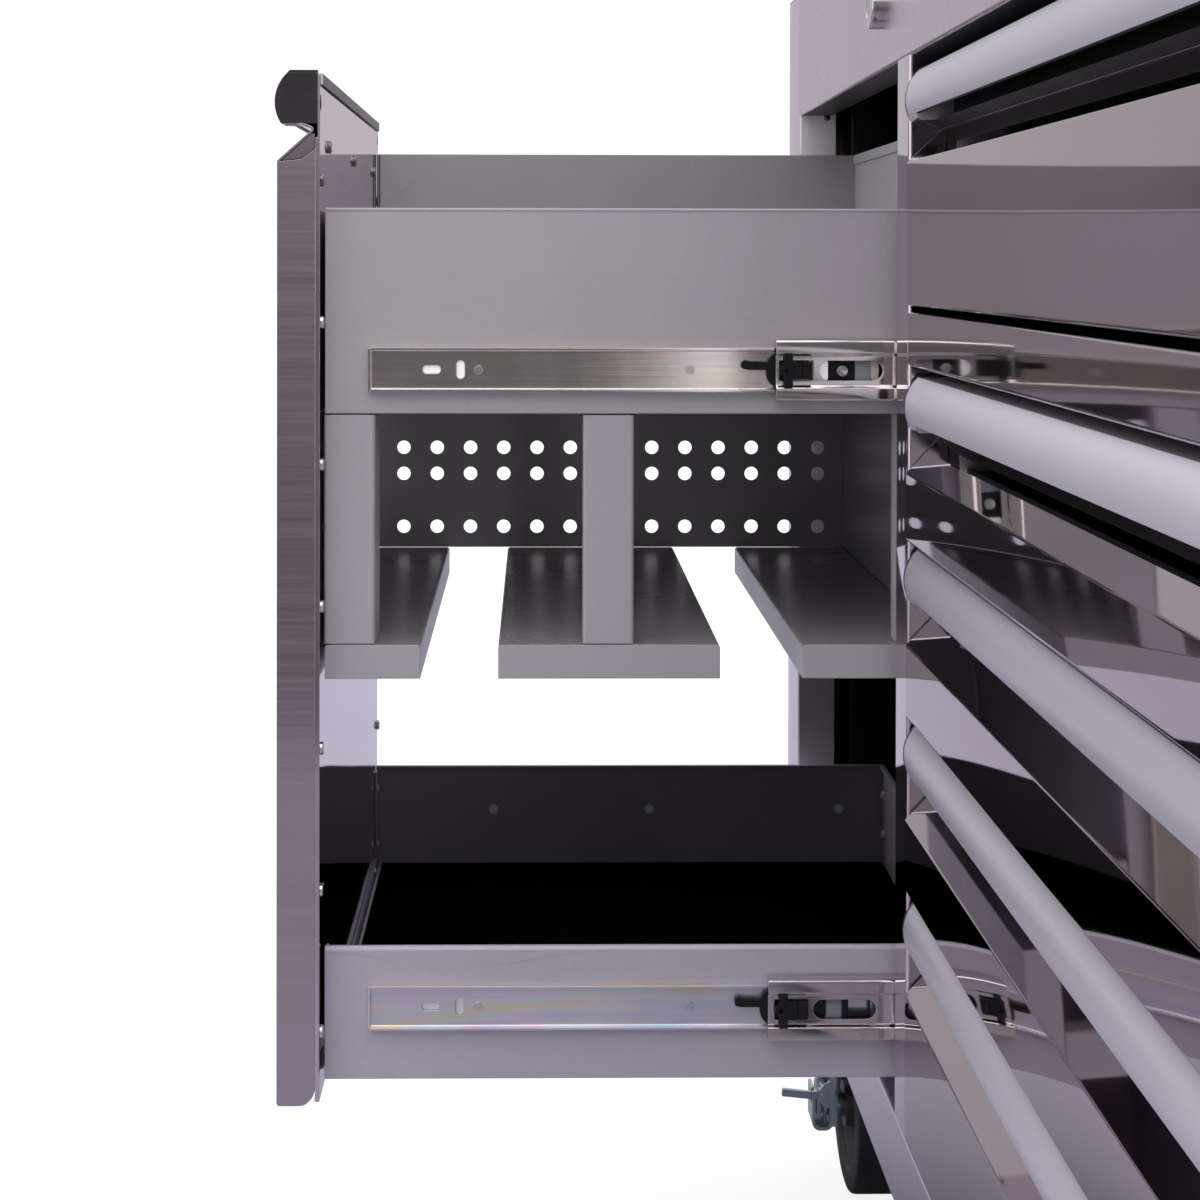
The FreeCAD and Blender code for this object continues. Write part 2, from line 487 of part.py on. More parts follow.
def wheel(xc, yc):
    h = WW / 2
    tp = [(HUB_R, -h + 3), (HUB_R, h - 3), (HUB_R + 2, h), (WR - 3.8, h), (WR - 1.7, h - 0.6), (WR - 0.5, h - 1.8), (WR, h - 4),
          (WR, -h + 4), (WR - 0.5, -h + 1.8), (WR - 1.7, -h + 0.6), (WR - 3.8, -h), (HUB_R + 2, -h)]
    hp = [(AX_R + 0.06, -h - 1), (AX_R + 0.06, h + 1), (16, h + 1), (18, 8), (HUB_R - 6, 8), (HUB_R - 4, h - 4), (HUB_R, h - 4),
          (HUB_R, -h + 4), (HUB_R - 4, -h + 4), (HUB_R - 6, -8), (18, -8), (16, -h - 1)]
    out = []
    for prof in (tp, hp):
        w = Part.makePolygon([V(xc + r, yc + y, AZ) for r, y in prof] + [V(xc + prof[0][0], yc + prof[0][1], AZ)])
        out.append(Part.Face(w).revolve(V(xc, yc, AZ), V(0, 1, 0), 360))
    return out


def leg(xc, yc, dx, ztop):
    """fork leg with a boss round the axle; dx is the trail"""
    pts = [V(xc + dx - 15, yc, AZ - 15), V(xc + dx + 15, yc, AZ - 15), V(xc + dx + 17, yc, AZ + 12), V(xc + 30, yc, ztop),
           V(xc - 30 if dx > -20 else xc - 34, yc, ztop), V(xc + dx - 17, yc, AZ + 12)]
    return prism(pts, [9, 9, 6, 0, 0, 6], V(0, 3.0, 0))


def plate_with_bolts(xc, yc):
    p = box(xc - 52, xc + 52, yc - 50, yc + 50, BASE_Z - 3, BASE_Z)
    p = p.makeFillet(8, [e for e in p.Edges if abs(e.tangentAt(e.FirstParameter).z) > 0.9])
    bolts = []
    for sx in (-1, 1):
        for sy in (-1, 1):
            q = Part.makePolygon([V(xc + sx * 42 + 6.5 * math.cos(a), yc + sy * 40 + 6.5 * math.sin(a), BASE_Z - 7.6) for a in
                                  [math.radians(60 * k) for k in range(7)]])
            bolts.append(Part.Face(q).extrude(V(0, 0, 4.6)))
    return [p] + bolts


def swivel_fork(xc, yc):
    zt = BASE_Z - 3 - 0.5
    race = cyl(xc, yc, 177.0, 31.0, zt - 177.0, (0, 0, 1))
    race = race.makeFillet(2.5, [e for e in race.Edges if len(e.Vertexes) == 1 and e.CenterOfMass.z < 177.1 or
                                 (len(e.Vertexes) == 1 and e.CenterOfMass.z > zt - 0.1)])
    crown = box(xc - 34, xc + 30, yc - 32, yc + 32, 173.0, 177.0)
    a = leg(xc, yc - 32, -TRAIL, 174.0)
    b = leg(xc, yc + 29, -TRAIL, 174.0)
    axle = cyl(xc - TRAIL, yc - 32, AZ, AX_R, 64.0, (0, 1, 0))
    nut = cyl(xc - TRAIL, yc + 32, AZ, 10.0, 6.0, (0, 1, 0))
    sp1 = cyl(xc - TRAIL, yc - 29, AZ, 10.0, 6.3, (0, 1, 0))
    sp2 = cyl(xc - TRAIL, yc + 22.7, AZ, 10.0, 6.3, (0, 1, 0))
    # channel of the side brake, in front of the front leg, with two lugs that hold the pedal's pin
    xm = xc - TRAIL
    x0, x1 = xm - 12, xm + 12
    br = bent_yz([(yc - 47.8, 91.0), (yc - 47.8, 61.3), (yc - 32.0, 61.3), (yc - 32.0, 150.0)], x0, x1, 2.4, 3.6)
    br = br.cut(box(xm + 4.3, xm + 9.8, yc - 55, yc - 36, 80.5, 120))       # slot that the pedal's tab comes through
    lug = [(yc - 32.2, 78), (yc - 38.0, 79), (yc - 43.4, 84), (yc - 43.4, 91), (yc - 39.0, 96), (yc - 32.2, 100)]
    l1 = poly_yz(lug, x0, x0 + 2.4, [0, 3, 3, 3, 3, 0])
    l2 = poly_yz(lug, x1 - 2.4, x1, [0, 3, 3, 3, 3, 0])
    rib = box(x0 + 3, x1 - 3, yc - 34.5, yc - 33.3, 64.0, 150.0)
    pin = cyl(x0 - 1, yc - 39, 88.0, 2.0, 26, (1, 0, 0))
    f = fuse(race, crown, a, b, axle, nut, sp1, sp2, br, l1, l2, rib, pin)
    return f.cut(cyl(xc, yc, 160, 6.06, 40, (0, 0, 1)))


def pedal(xc, yc):
    """brake pedal on its pin: a narrow tab to the front, a hub and a shoe arm that hangs into the channel"""
    xm = xc - TRAIL
    tab = poly_yz([(yc - 48.0, 89.3), (yc - 70.2, 91.7), (yc - 70.6, 86.2), (yc - 48.0, 83.8), (yc - 40.0, 85.4), (yc - 38.0, 90.4)],
                  xm + 5.6, xm + 8.6, [2, 0.8, 0.8, 3, 0, 0])
    hub = cyl(xm - 9.2, yc - 39, 88.0, 4.2, 18.4, (1, 0, 0))
    arm = poly_yz([(yc - 43.2, 90.0), (yc - 40.2, 90.0), (yc - 40.2, 67.0), (yc - 43.2, 67.0)], xm - 6, xm + 4.0, [0, 0, 1, 1])
    up_ = poly_yz([(yc - 43.2, 88.0), (yc - 40.6, 88.0), (yc - 40.6, 112.0), (yc - 43.2, 112.0)], xm - 8, xm + 1.0, [0, 0, 1, 1])
    return fuse(tab, hub, arm, up_).cut(cyl(xm - 20, yc - 39, 88.0, 2.06, 40, (1, 0, 0)))


plates = []
for tag, xc in (("cfl", -CX), ("cfr", CX)):
    plates += plate_with_bolts(xc, CYF)
    pin = fuse(cyl(xc, CYF, 168.0, 6.0, BASE_Z - 3 - 168.0, (0, 0, 1)), cyl(xc, CYF, 166.0, 9.0, 6.7, (0, 0, 1)))
    plates[-5] = fuse(plates[-5], pin)
    put(tag + "_fork", swivel_fork(xc, CYF))
    put(tag + "_wheel", *wheel(xc - TRAIL, CYF))
    put(tag + "_brake", pedal(xc, CYF))
put("front_caster_plates", *plates)

forks = []
for tag, xc in (("crl", -CX), ("crr", CX)):
    pb = plate_with_bolts(xc, CYR)
    crown = box(xc - 34, xc + 34, CYR - 32, CYR + 32, 180.0, BASE_Z - 3)
    a = leg(xc, CYR - 32, 0.0, 181.0)
    b = leg(xc, CYR + 29, 0.0, 181.0)
    axle = cyl(xc, CYR - 36, AZ, AX_R, 72.0, (0, 1, 0))
    n1, n2 = cyl(xc, CYR - 37, AZ, 9.5, 5.0, (0, 1, 0)), cyl(xc, CYR + 32, AZ, 9.5, 5.0, (0, 1, 0))
    n3, n4 = cyl(xc, CYR - 29, AZ, 10.0, 6.3, (0, 1, 0)), cyl(xc, CYR + 22.7, AZ, 10.0, 6.3, (0, 1, 0))
    pb[0] = fuse(pb[0], crown, a, b, axle, n1, n2, n3, n4)
    forks += pb
    put(tag + "_wheel", *wheel(xc, CYR))
put("rear_caster_forks", *forks)

# ---------------------------------------------------------------- export
for name, solids in NODES.items():
    moved = [s.translated(SHIFT) for s in solids]
    shape = moved[0] if len(moved) == 1 else Part.makeCompound(moved)
    if not shape.isValid():
        print("invalid:", name)
    shape.exportStep("parts/" + name + ".step")
print(len(NODES), "nodes, YC =", round(YC, 3), "slide_z", slide_z)
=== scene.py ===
import math

import bmesh
import bpy
from mathutils import Matrix, Vector


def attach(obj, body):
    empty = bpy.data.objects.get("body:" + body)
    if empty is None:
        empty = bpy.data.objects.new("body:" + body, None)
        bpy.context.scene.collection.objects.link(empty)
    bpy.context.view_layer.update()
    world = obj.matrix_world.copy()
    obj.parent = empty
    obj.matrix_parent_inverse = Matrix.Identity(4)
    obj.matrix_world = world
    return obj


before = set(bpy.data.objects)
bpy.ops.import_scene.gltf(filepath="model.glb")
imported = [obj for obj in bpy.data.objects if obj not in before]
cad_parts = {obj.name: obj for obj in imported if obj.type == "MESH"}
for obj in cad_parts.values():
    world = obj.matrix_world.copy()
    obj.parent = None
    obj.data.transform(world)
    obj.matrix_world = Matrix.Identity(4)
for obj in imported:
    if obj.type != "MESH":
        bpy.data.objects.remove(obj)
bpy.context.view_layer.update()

YC = 0.05375                      # the drawing's y = 0 is the front plane of the case
FL = 14.0                         # the floor's height in the drawing, mm
SC = bpy.context.scene
SC.view_settings.view_transform = "Standard"
SC.view_settings.look = "None"
SC.view_settings.exposure = 0.0
SC.view_settings.gamma = 1.0


def P(x, y, z):
    """millimetres in the drawing to metres in the frame"""
    return Vector((x / 1000.0, y / 1000.0 - YC, (z - FL) / 1000.0))


# ------------------------------------------------------------------ camera
cam_data = bpy.data.cameras.new("camera")
cam = bpy.data.objects.new("camera", cam_data)
SC.collection.objects.link(cam)
SC.camera = cam
cam_data.sensor_width = 36.0
cam_data.lens = 1948.1 / 1200 * 36.0
cam_data.shift_x = (600 - 560.9) / 1200
cam_data.shift_y = (276.8 - 600) / 1200
F = Vector((-0.9998868, 0.01292007, -0.00771105)).normalized()
R = Vector((0.01290655, 0.99991509, 0.00180037))
R = (R - F * R.dot(F)).normalized()
U = R.cross(F).normalized()
cam.matrix_world = Matrix((
    (R.x, U.x, -F.x, 0.8981), (R.y, U.y, -F.y, -0.2030 - YC), (R.z, U.z, -F.z, 0.721 - FL / 1000.0), (0, 0, 0, 1)))
cam_data.clip_start = 0.02
cam_data.clip_end = 200


# ------------------------------------------------------------------ node helpers
class N:
    """a small builder for node trees"""

    def __init__(self, tree):
        self.t = tree
        self.n = tree.nodes
        self.l = tree.links

    def new(self, kind, **kw):
        nd = self.n.new(kind)
        for k, v in kw.items():
            setattr(nd, k, v)
        return nd

    def link(self, a, b):
        self.l.new(a, b)

    def math(self, op, a, b=None, c=None, clamp=False):
        nd = self.new("ShaderNodeMath", operation=op, use_clamp=clamp)
        for i, v in enumerate((a, b, c)):
            if v is None:
                continue
            if hasattr(v, "is_output"):
                self.link(v, nd.inputs[i])
            else:
                nd.inputs[i].default_value = v
        return nd.outputs[0]

    def maprange(self, v, a, b, c, d, smooth=False):
        nd = self.new("ShaderNodeMapRange")
        nd.interpolation_type = "SMOOTHSTEP" if smooth else "LINEAR"
        nd.clamp = True
        self.link(v, nd.inputs[0])
        for i, x in enumerate((a, b, c, d)):
            if hasattr(x, "is_output"):
                self.link(x, nd.inputs[i + 1])
            else:
                nd.inputs[i + 1].default_value = x
        return nd.outputs[0]

    def mix(self, fac, a, b, blend="MIX"):
        nd = self.new("ShaderNodeMix", data_type="RGBA", blend_type=blend)
        nd.clamp_factor = True
        for sock, v in ((nd.inputs[0], fac), (nd.inputs[6], a), (nd.inputs[7], b)):
            if hasattr(v, "is_output"):
                self.link(v, sock)
            elif isinstance(v, (int, float)):
                sock.default_value = v
            else:
                sock.default_value = (*v, 1.0)
        return nd.outputs[2]

    def coords(self, scale=(1, 1, 1), loc=(0, 0, 0), rot=(0, 0, 0)):
        tc = self.new("ShaderNodeTexCoord")
        mp = self.new("ShaderNodeMapping")
        mp.inputs["Scale"].default_value = scale
        mp.inputs["Location"].default_value = loc
        mp.inputs["Rotation"].default_value = rot
        self.link(tc.outputs["Object"], mp.inputs["Vector"])
        return mp.outputs[0]

    def noise(self, vec, scale=1.0, detail=2.0, rough=0.5, dist=0.0):
        nd = self.new("ShaderNodeTexNoise")
        self.link(vec, nd.inputs["Vector"])
        nd.inputs["Scale"].default_value = scale
        nd.inputs["Detail"].default_value = detail
        nd.inputs["Roughness"].default_value = rough
        nd.inputs["Distortion"].default_value = dist
        return nd.outputs["Fac"]


def material(name):
    m = bpy.data.materials.new(name)
    m.use_nodes = True
    m.node_tree.nodes.clear()
    b = N(m.node_tree)
    out = b.new("ShaderNodeOutputMaterial")
    bs = b.new("ShaderNodeBsdfPrincipled")
    b.link(bs.outputs[0], out.inputs[0])
    return m, b, bs


GRAIN = {"x": (12, 1400, 1400), "y": (1400, 12, 1400), "z": (1400, 1400, 12)}


def steel(name, color, rough, grain, streak=0.05, tone=0.05, bump=0.03, edge=0.0004, smudge=0.0, metallic=1.0, warp=0.0, peel=0.0, low_shade=0.0):
    """brushed sheet: long fine streaks along one axis, soft clouding, worn rounded edges"""
    m, b, bs = material(name)
    fine = b.noise(b.coords(GRAIN[grain]), 1.0, 3.0, 0.6)
    g2 = tuple(v * 0.28 if v > 100 else v * 0.4 for v in GRAIN[grain])
    coarse = b.noise(b.coords(g2, (3.1, 1.7, 0.4)), 1.0, 2.0, 0.5)
    cloud = b.noise(b.coords((5, 5, 5), (0.3, 0.8, 0.1)), 1.0, 3.0, 0.55, 0.4)
    s = b.math("ADD", b.math("MULTIPLY", fine, 0.6), b.math("MULTIPLY", coarse, 0.4))
    k = b.math("ADD", b.math("MULTIPLY", b.math("SUBTRACT", s, 0.5), tone * 2.0),
               b.math("MULTIPLY", b.math("SUBTRACT", cloud, 0.5), tone * 1.6))
    lo = tuple(c * (1 - tone * 1.4) for c in color)
    hi = tuple(min(1.0, c * (1 + tone * 1.4)) for c in color)
    col = b.mix(b.math("ADD", k, 0.5, clamp=True), lo, hi)
    r = b.math("ADD", b.math("MULTIPLY", b.math("SUBTRACT", s, 0.5), streak * 2), rough)
    r = b.math("ADD", r, b.math("MULTIPLY", b.math("SUBTRACT", cloud, 0.45), rough * 0.4))
    if smudge > 0:
        sm = b.noise(b.coords((26, 26, 26), (1.3, 0.2, 0.7)), 1.0, 4.0, 0.62, 1.2)
        sm = b.maprange(sm, 0.56, 0.72, 0.0, smudge, True)
        r = b.math("ADD", r, sm)
        col = b.mix(b.math("MULTIPLY", sm, 0.9), col, tuple(c * 0.72 for c in color))
    if low_shade > 0:
        # painted shade: the colour grows darker towards the floor
        zs = b.new("ShaderNodeSeparateXYZ")
        b.link(b.coords((1, 1, 1)), zs.inputs[0])
        col = b.mix(b.maprange(zs.outputs[2], 0.05, 0.55, low_shade, 0.0, True), col, tuple(c * 0.45 for c in color))
    r = b.math("MAXIMUM", r, 0.03)
    b.link(col, bs.inputs["Base Color"])
    b.link(r, bs.inputs["Roughness"])
    bs.inputs["Metallic"].default_value = metallic
    nb = None
    if edge:
        bev = b.new("ShaderNodeBevel", samples=4)
        bev.inputs["Radius"].default_value = edge
        nb = bev.outputs[0]
    if warp:
        # the sheet isn't perfectly flat: long shallow waves
        wv = b.noise(b.coords((9, 9, 14), (0.4, 0.1, 0.9)), 1.0, 1.0, 0.4)
        bw = b.new("ShaderNodeBump")
        bw.inputs["Strength"].default_value = 1.0
        bw.inputs["Distance"].default_value = warp
        b.link(wv, bw.inputs["Height"])
        if nb:
            b.link(nb, bw.inputs["Normal"])
        nb = bw.outputs[0]
    if peel:
        # fine ripple like the skin of an orange
        pv = b.noise(b.coords((330, 330, 330), (0.6, 0.3, 0.2)), 1.0, 2.0, 0.5)
        bq = b.new("ShaderNodeBump")
        bq.inputs["Strength"].default_value = 1.0
        bq.inputs["Distance"].default_value = peel
        b.link(pv, bq.inputs["Height"])
        if nb:
            b.link(nb, bq.inputs["Normal"])
        nb = bq.outputs[0]
    if bump:
        bp = b.new("ShaderNodeBump")
        bp.inputs["Strength"].default_value = bump
        bp.inputs["Distance"].default_value = 0.0002
        b.link(s, bp.inputs["Height"])
        if nb:
            b.link(nb, bp.inputs["Normal"])
        nb = bp.outputs[0]
    if nb:
        b.link(nb, bs.inputs["Normal"])
    return m


def painted(name, color, rough, grain=2600, tone=0.05, bump=0.05, metallic=0.0, edge=0.0005, dust=0.0, spec=0.5):
    """powder-coated or plated sheet with a fine speckle, soft clouding and a few hair scratches"""
    m, b, bs = material(name)
    fine = b.noise(b.coords((1, 1, 1)), grain, 2.0, 0.6)
    mid = b.noise(b.coords((1, 1, 1), (4, 1, 2)), grain * 0.16, 2.0, 0.5)
    cloud = b.noise(b.coords((1, 1, 1), (1, 5, 3)), 7.0, 3.0, 0.5, 0.3)
    s = b.math("ADD", b.math("MULTIPLY", fine, 0.65), b.math("MULTIPLY", mid, 0.35))
    k = b.math("ADD", b.math("MULTIPLY", b.math("SUBTRACT", s, 0.5), 1.6), b.math("MULTIPLY", b.math("SUBTRACT", cloud, 0.5), 0.8))
    lo = tuple(c * (1 - tone * 2) for c in color)
    hi = tuple(c * (1 + tone * 2) for c in color)
    col = b.mix(b.math("ADD", k, 0.5, clamp=True), lo, hi)
    # hair scratches: the thin zero line of a stretched noise
    sc = b.noise(b.coords((1.6, 2.2, 13.0), (0.2, 0.9, 0.6), (0.2, 0.1, 0.0)), 1.0, 1.5, 0.4, 0.5)
    line = b.math("ABSOLUTE", b.math("SUBTRACT", sc, 0.5))
    line = b.maprange(line, 0.0, 0.0035, 0.35, 0.0)
    gate = b.maprange(b.noise(b.coords((1, 1, 1), (7, 7, 1)), 9.0, 1.0, 0.5), 0.5, 0.62, 0.0, 1.0, True)
    col = b.mix(b.math("MULTIPLY", line, gate), col, tuple(c * 0.62 for c in color))
    if dust > 0:
        d = b.new("ShaderNodeTexVoronoi")
        b.link(b.coords((1, 1, 1)), d.inputs["Vector"])
        d.inputs["Scale"].default_value = 130.0
        spot = b.maprange(d.outputs["Distance"], 0.0, 0.05, dust, 0.0)
        col = b.mix(spot, col, (0.75, 0.75, 0.78))
    b.link(col, bs.inputs["Base Color"])
    r = b.math("ADD", b.math("MULTIPLY", b.math("SUBTRACT", cloud, 0.5), 0.16), rough)
    b.link(b.math("ADD", r, b.math("MULTIPLY", b.math("SUBTRACT", s, 0.5), 0.1)), bs.inputs["Roughness"])
    bs.inputs["Metallic"].default_value = metallic
    bs.inputs["Specular IOR Level"].default_value = spec
    bev = b.new("ShaderNodeBevel", samples=4)
    bev.inputs["Radius"].default_value = edge
    bp = b.new("ShaderNodeBump")
    bp.inputs["Strength"].default_value = bump
    bp.inputs["Distance"].default_value = 0.0002
    b.link(s, bp.inputs["Height"])
    b.link(bev.outputs[0], bp.inputs["Normal"])
    b.link(bp.outputs[0], bs.inputs["Normal"])
    return m


def zinc(name, color, rough, rainbow=0.0, axis="y"):
    """bright plated slide steel with drawing lines and, where asked, the oily colours of the plating"""
    m, b, bs = material(name)
    line = b.noise(b.coords(GRAIN[axis]), 0.7, 3.0, 0.6)
    cloud = b.noise(b.coords((14, 14, 14), (2, 1, 0)), 1.0, 3.0, 0.6, 0.6)
    k = b.math("ADD", b.math("MULTIPLY", b.math("SUBTRACT", line, 0.5), 0.5), b.math("MULTIPLY", b.math("SUBTRACT", cloud, 0.5), 1.0))
    col = b.mix(b.math("ADD", k, 0.5, clamp=True), tuple(c * 0.86 for c in color), tuple(min(1, c * 1.12) for c in color))
    if rainbow > 0:
        w = b.noise(b.coords((9, 5, 60), (0, 3, 0)), 1.0, 2.0, 0.5, 1.6)
        rp = b.new("ShaderNodeValToRGB")
        e = rp.color_ramp.elements
        e[0].position, e[0].color = 0.30, (0.62, 0.80, 0.86, 1)
        e[1].position, e[1].color = 0.70, (0.86, 0.84, 0.62, 1)
        for pos, c in ((0.42, (0.88, 0.74, 0.86, 1)), (0.50, (0.80, 0.86, 0.84, 1)), (0.58, (0.92, 0.80, 0.72, 1))):
            x = e.new(pos)
            x.color = c
        b.link(w, rp.inputs[0])
        col = b.mix(rainbow, col, rp.outputs[0], "MULTIPLY")
    b.link(col, bs.inputs["Base Color"])
    r = b.math("ADD", b.math("MULTIPLY", b.math("SUBTRACT", line, 0.5), 0.12), rough)
    b.link(b.math("MAXIMUM", b.math("ADD", r, b.math("MULTIPLY", b.math("SUBTRACT", cloud, 0.5), rough)), 0.04), bs.inputs["Roughness"])
    bs.inputs["Metallic"].default_value = 1.0
    bev = b.new("ShaderNodeBevel", samples=4)
    bev.inputs["Radius"].default_value = 0.0005
    bp = b.new("ShaderNodeBump")
    bp.inputs["Strength"].default_value = 0.04
    bp.inputs["Distance"].default_value = 0.0002
    b.link(line, bp.inputs["Height"])
    b.link(bev.outputs[0], bp.inputs["Normal"])
    b.link(bp.outputs[0], bs.inputs["Normal"])
    return m


def moulded(name, color, rough, scale=1500, bump=0.12, tone=0.2, edge=0.0004, spec=0.5):
    m, b, bs = material(name)
    bs.inputs["Specular IOR Level"].default_value = spec
    fine = b.noise(b.coords((1, 1, 1)), scale, 2.0, 0.5)
    wear = b.noise(b.coords((1, 1, 1), (3, 3, 3)), 30.0, 3.0, 0.6)
    col = b.mix(b.maprange(wear, 0.35, 0.75, 0.0, 1.0, True), tuple(c * (1 - tone) for c in color),
                tuple(c * (1 + tone) + 0.001 for c in color))
    b.link(col, bs.inputs["Base Color"])
    b.link(b.math("ADD", b.math("MULTIPLY", b.math("SUBTRACT", wear, 0.5), 0.25), rough), bs.inputs["Roughness"])
    bev = b.new("ShaderNodeBevel", samples=4)
    bev.inputs["Radius"].default_value = edge
    bp = b.new("ShaderNodeBump")
    bp.inputs["Strength"].default_value = bump
    bp.inputs["Distance"].default_value = 0.0002
    b.link(fine, bp.inputs["Height"])
    b.link(bev.outputs[0], bp.inputs["Normal"])
    b.link(bp.outputs[0], bs.inputs["Normal"])
    return m


SKIN = (0.70, 0.615, 0.69)
M_skin = steel("stainless_vertical", SKIN, 0.05, "z", streak=0.012, tone=0.035, bump=0.006, smudge=0.03, warp=0.0006)
M_front = steel("stainless_drawer", (0.48, 0.415, 0.45), 0.032, "z", streak=0.006, tone=0.03, bump=0.002, smudge=0.02, warp=0.00012)
M_front5 = steel("stainless_drawer_low", (0.48, 0.415, 0.45), 0.034, "z", streak=0.006, tone=0.03, bump=0.002, smudge=0.09, warp=0.00012)
M_film = steel("stainless_film", (0.66, 0.575, 0.655), 0.27, "x", streak=0.03, tone=0.03, bump=0.01, smudge=0.05, warp=0.0003, peel=0.00006)
M_low = steel("stainless_rail_low", SKIN, 0.13, "x", streak=0.03, tone=0.03, bump=0.02, smudge=0.22, warp=0.0003)
GRAIN["wide_y"] = (560, 8, 560)
# its colour is painted darker towards the floor as shade
M_side = steel("stainless_horizontal", SKIN, 0.15, "wide_y", streak=0.16, tone=0.2, bump=0.12, low_shade=0.75)
M_end = steel("stainless_end", (0.78, 0.70, 0.75), 0.34, "z", streak=0.08, tone=0.08, bump=0.05, metallic=0.55)
# a dark copy of the stainless: painted shade on the back of the front sheet, the pull's hook and the recess tabs
M_inner_shade = steel("stainless_inside_painted_shade", (0.17, 0.142, 0.165), 0.5, "x", streak=0.05, tone=0.08, bump=0.03, metallic=0.2)
M_rail = steel("stainless_along", (0.50, 0.43, 0.47), 0.05, "x", streak=0.012, tone=0.03, bump=0.004, smudge=0.03, warp=0.0002)
M_post = steel("stainless_post", (0.78, 0.70, 0.77), 0.10, "z", streak=0.03, tone=0.03, bump=0.01)
# near-white, non-metallic copy of the stainless for the side lips: painted sheen
M_lip_sheen = steel("stainless_return_painted_sheen", (0.97, 0.925, 0.965), 0.5, "z", streak=0.08, tone=0.05, bump=0.05, metallic=0.0)
M_tray = painted("tray_grey", (0.475, 0.452, 0.485), 0.42, tone=0.05, bump=0.05, metallic=0.1, edge=0.0011)
# a darker copy of the tray grey for the upper tray's far wall: painted shade
M_tray_far_shade = painted("tray_grey_far_painted_shade", (0.335, 0.32, 0.345), 0.42, tone=0.05, bump=0.05, metallic=0.1, edge=0.0011)
# a lighter, bluer copy of the tray grey for the lower tray: painted light, the bluish light from below
M_tray_low_lit = painted("tray_grey_low_lit_bluish", (0.50, 0.475, 0.56), 0.42, tone=0.05, bump=0.05, metallic=0.1, edge=0.0011)
# a still darker copy for the lower tray's far wall: painted shade
M_tray_lowfar_shade = painted("tray_grey_lowfar_painted_shade", (0.26, 0.245, 0.285), 0.42, tone=0.05, bump=0.05, metallic=0.1, edge=0.0011)
M_peg = painted("panel_grey", (0.42, 0.40, 0.425), 0.34, tone=0.04, bump=0.03, metallic=0.2)
M_shelf = painted("shelf_grey", (0.36, 0.345, 0.37), 0.28, tone=0.04, bump=0.03, metallic=0.3, edge=0.0012)
M_dark = painted("dark_lining", (0.016, 0.016, 0.019), 0.42, tone=0.1, bump=0.03, spec=0.3)
M_back = painted("back_sheet", (0.20, 0.195, 0.21), 0.4, tone=0.05, bump=0.04)
M_mat = moulded("mat_black", (0.0008, 0.0008, 0.001), 0.9, 900, 0.3, 0.3, spec=0.02)
M_hole_shade = moulded("hole_black_painted_shade", (0.0006, 0.0005, 0.0006), 0.9, 900, 0.1, 0.3, spec=0.0)
M_alu = steel("handle_aluminium", (0.80, 0.785, 0.86), 0.42, "x", streak=0.02, tone=0.015, bump=0.01, edge=0.0005, metallic=0.45)
# a darker copy of the same pull aluminium: painted shade
M_alu_shaded = steel("handle_aluminium_darker_copy", (0.64, 0.625, 0.69), 0.42, "x", streak=0.02, tone=0.015, bump=0.01, edge=0.0005, metallic=0.45)
# a darker copy of the pull aluminium for the pulls' top faces: painted shade
M_alu_top_shade = steel("handle_aluminium_top_painted_shade", (0.56, 0.545, 0.60), 0.42, "x", streak=0.02, tone=0.015, bump=0.01, edge=0.0005, metallic=0.45)
M_cap = moulded("cap_black", (0.030, 0.022, 0.031), 0.36, 1800, 0.06)
M_black = moulded("part_black", (0.008, 0.008, 0.009), 0.32, 1800, 0.05, spec=0.35)
# near-black painted shade for the pulls' undersides and inner faces and the recesses' upper slopes
M_under_shade = moulded("pull_underside_painted_shade", (0.006, 0.006, 0.008), 0.45, 1200, 0.03, spec=0.2)
M_zinc = zinc("slide_zinc", (0.80, 0.765, 0.755), 0.10)
M_zinc2 = zinc("slide_zinc_oily", (0.86, 0.87, 0.97), 0.17, rainbow=1.0)
M_zinc2.node_tree.nodes["Principled BSDF"].inputs["Metallic"].default_value = 0.72
M_zinc3 = zinc("slide_zinc_faint", (0.78, 0.735, 0.725), 0.10, rainbow=0.45)
M_screw = zinc("screw_zinc", (0.74, 0.72, 0.74), 0.20)
M_head = painted("screw_pale", (0.80, 0.79, 0.82), 0.3, tone=0.05, bump=0.03, metallic=0.3)
M_rivet = zinc("rivet_zinc", (0.20, 0.185, 0.195), 0.16)
M_cast = zinc("caster_zinc", (0.62, 0.72, 0.76), 0.20, axis="x")
M_lock = steel("lock_chrome", (0.62, 0.60, 0.62), 0.07, "x", streak=0.02, tone=0.02, bump=0.0, edge=0.0003)
M_brass = steel("screw_brass", (0.62, 0.40, 0.16), 0.25, "x", streak=0.05, tone=0.1, bump=0.0, edge=0.0003)
M_tyre = moulded("tyre_black", (0.0125, 0.0112, 0.013), 0.55, 700, 0.15, 0.25, spec=0.4)
M_hub = moulded("hub_dark", (0.05, 0.048, 0.052), 0.42, 900, 0.08, 0.2)
M_white_glow = painted("pad_white_glowing", (0.97, 0.97, 0.98), 0.6, tone=0.01, bump=0.02)
shader = M_lip_sheen.node_tree.nodes["Principled BSDF"]
shader.inputs["Specular IOR Level"].default_value = 0.9
# the white pads and latch tips glow a little: painted light
shader = M_white_glow.node_tree.nodes["Principled BSDF"]
shader.inputs["Emission Color"].default_value = (1.0, 1.0, 1.0, 1.0)
shader.inputs["Emission Strength"].default_value = 0.28


